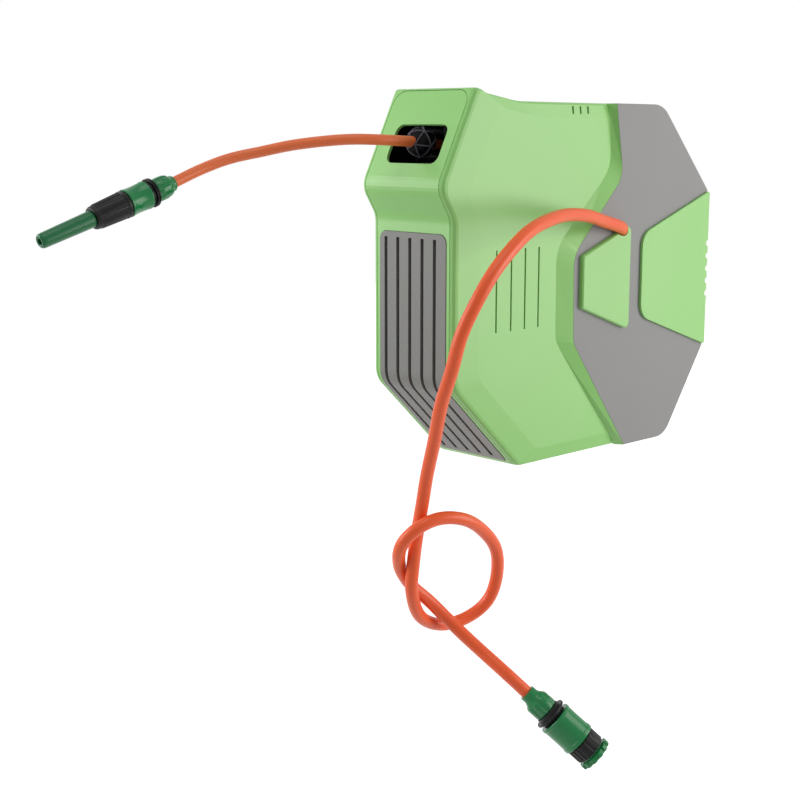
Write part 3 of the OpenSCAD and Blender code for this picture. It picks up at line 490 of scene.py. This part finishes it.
def netted_ball(name, radius, pocket_radius, rib_half, rib_side, ribs):
    """The mesh of a ball with a net of ribs and deep pockets between them. rib_half and rib_side are angles,
    from a rib's middle to the edge of its top and from there to the pocket's floor."""
    mesh = bpy.data.meshes.new(name)
    bm = bmesh.new()
    bmesh.ops.create_icosphere(bm, subdivisions=6, radius=1)
    for vert in bm.verts:
        direction = vert.co.normalized()
        near = min(arc_gap(direction, start, end) for start, end in ribs)
        vert.co = direction * (radius + (pocket_radius - radius) * ease((near - rib_half) / rib_side))
    bm.to_mesh(mesh)
    bm.free()
    mesh.shade_smooth()
    return mesh


# One corner of the net points to the photograph's side, a little up and to the right.
seen_corner = (0.2 * view_right + 0.57 * view_up - 0.79 * view_dir).normalized()
ball_step = Vector((0, -19, 1.5))
ball_mesh = netted_ball("hose_stop_netted", 14 * MM, 12.2 * MM, rib_half=0.035, rib_side=0.04,
    ribs=net_ribs(seen_corner))
ball_mesh.materials.append(nitrile_painted_light)
hose_stop = bpy.data.objects.new("hose_stop_netted", ball_mesh)
hose_stop.location = (guide + ball_step) * MM
show(hose_stop, "case", "hose_stop")


# Background, floor and light

plain_white = (1, 1, 1, 1)


def white_seen(tree):
    """1 where the camera, a mirror or glass looks, and 0 for every other ray."""
    path = add(tree, "ShaderNodeLightPath")
    direct = add(tree, "ShaderNodeMath", {"operation": "MAXIMUM"},
        {0: path.outputs["Is Camera Ray"], 1: path.outputs["Is Glossy Ray"]})
    return add(tree, "ShaderNodeMath", {"operation": "MAXIMUM"},
        {0: direct.outputs[0], 1: path.outputs["Is Transmission Ray"]}).outputs[0]


# Studio background: plain white to the eye, and a dimmer white fill light.
world = bpy.data.worlds.new("studio")
bpy.context.scene.world = world
world.use_nodes = True
sky_tree = world.node_tree
sky_tree.nodes.clear()
fill = add(sky_tree, "ShaderNodeBackground", {"Color": plain_white, "Strength": 0.3})
white = add(sky_tree, "ShaderNodeBackground", {"Color": plain_white, "Strength": 1.0})
sky = add(sky_tree, "ShaderNodeMixShader", {},
    {0: white_seen(sky_tree), 1: fill.outputs[0], 2: white.outputs[0]})
add(sky_tree, "ShaderNodeOutputWorld", {}, {"Surface": sky.outputs[0]})

# Matt white paper on the studio floor, where a wall mounted reel has its ground. It glows a little to the
# eye, so that it matches the background, and darkens only in the reel's soft shadow. Its fibre is drawn
# coarser than real, to show.
floor_z = -1.3
floor_half = 9
fibre_mm = 4
studio_paper_white, floor_tree = new_material("studio_paper_white")
fibre = add(floor_tree, "ShaderNodeTexNoise", {"Scale": pattern_scale(fibre_mm), "Detail": 2.0})
floor_bump = add(floor_tree, "ShaderNodeBump", {"Strength": 0.02, "Distance": 0.1 * MM},
    {"Height": fibre.outputs["Fac"]})
paper = add(floor_tree, "ShaderNodeBsdfPrincipled", {"Base Color": linear("#fafafa"), "Roughness": 0.9},
    {"Normal": floor_bump.outputs["Normal"]})
glow_level = add(floor_tree, "ShaderNodeMath", {"operation": "MULTIPLY", 1: 0.85},
    {0: white_seen(floor_tree)})
glow = add(floor_tree, "ShaderNodeEmission", {"Color": plain_white}, {"Strength": glow_level.outputs[0]})
floor_shader = add(floor_tree, "ShaderNodeAddShader", {}, {0: paper.outputs[0], 1: glow.outputs[0]})
add(floor_tree, "ShaderNodeOutputMaterial", {}, {"Surface": floor_shader.outputs[0]})
floor_mesh = bpy.data.meshes.new("floor")
floor_mesh.from_pydata([(x * floor_half, y * floor_half, floor_z)
    for x, y in ((-1, -1), (1, -1), (1, 1), (-1, 1))], [], [(0, 1, 2, 3)])
floor_mesh.materials.append(studio_paper_white)
floor = bpy.data.objects.new("floor", floor_mesh)
bpy.context.scene.collection.objects.link(floor)


def softbox(name, place, size, watts, colour=(1, 1, 1)):
    """A square area lamp at a place, turned to the reel's middle."""
    reel_middle = Vector((0.03, -0.3, 0))
    lamp = bpy.data.objects.new(name, bpy.data.lights.new(name, "AREA"))
    lamp.data.size = size
    lamp.data.energy = watts
    lamp.data.color = colour
    lamp.location = place
    lamp.rotation_euler = (reel_middle - Vector(place)).to_track_quat("-Z", "Y").to_euler()
    bpy.context.scene.collection.objects.link(lamp)


# Two big softboxes stand to the camera's right and left, a little high, and a weak one hangs overhead.
softbox("right_softbox", (1.35, 0.65, 0.15), size=1.2, watts=20, colour=(1, 0.97, 0.94))
softbox("left_softbox", (-1.0, -1.5, 0.4), size=1.1, watts=17)
softbox("top_softbox", (0.4, -0.9, 1.9), size=1.2, watts=9)

bpy.context.scene.view_settings.view_transform = "Standard"
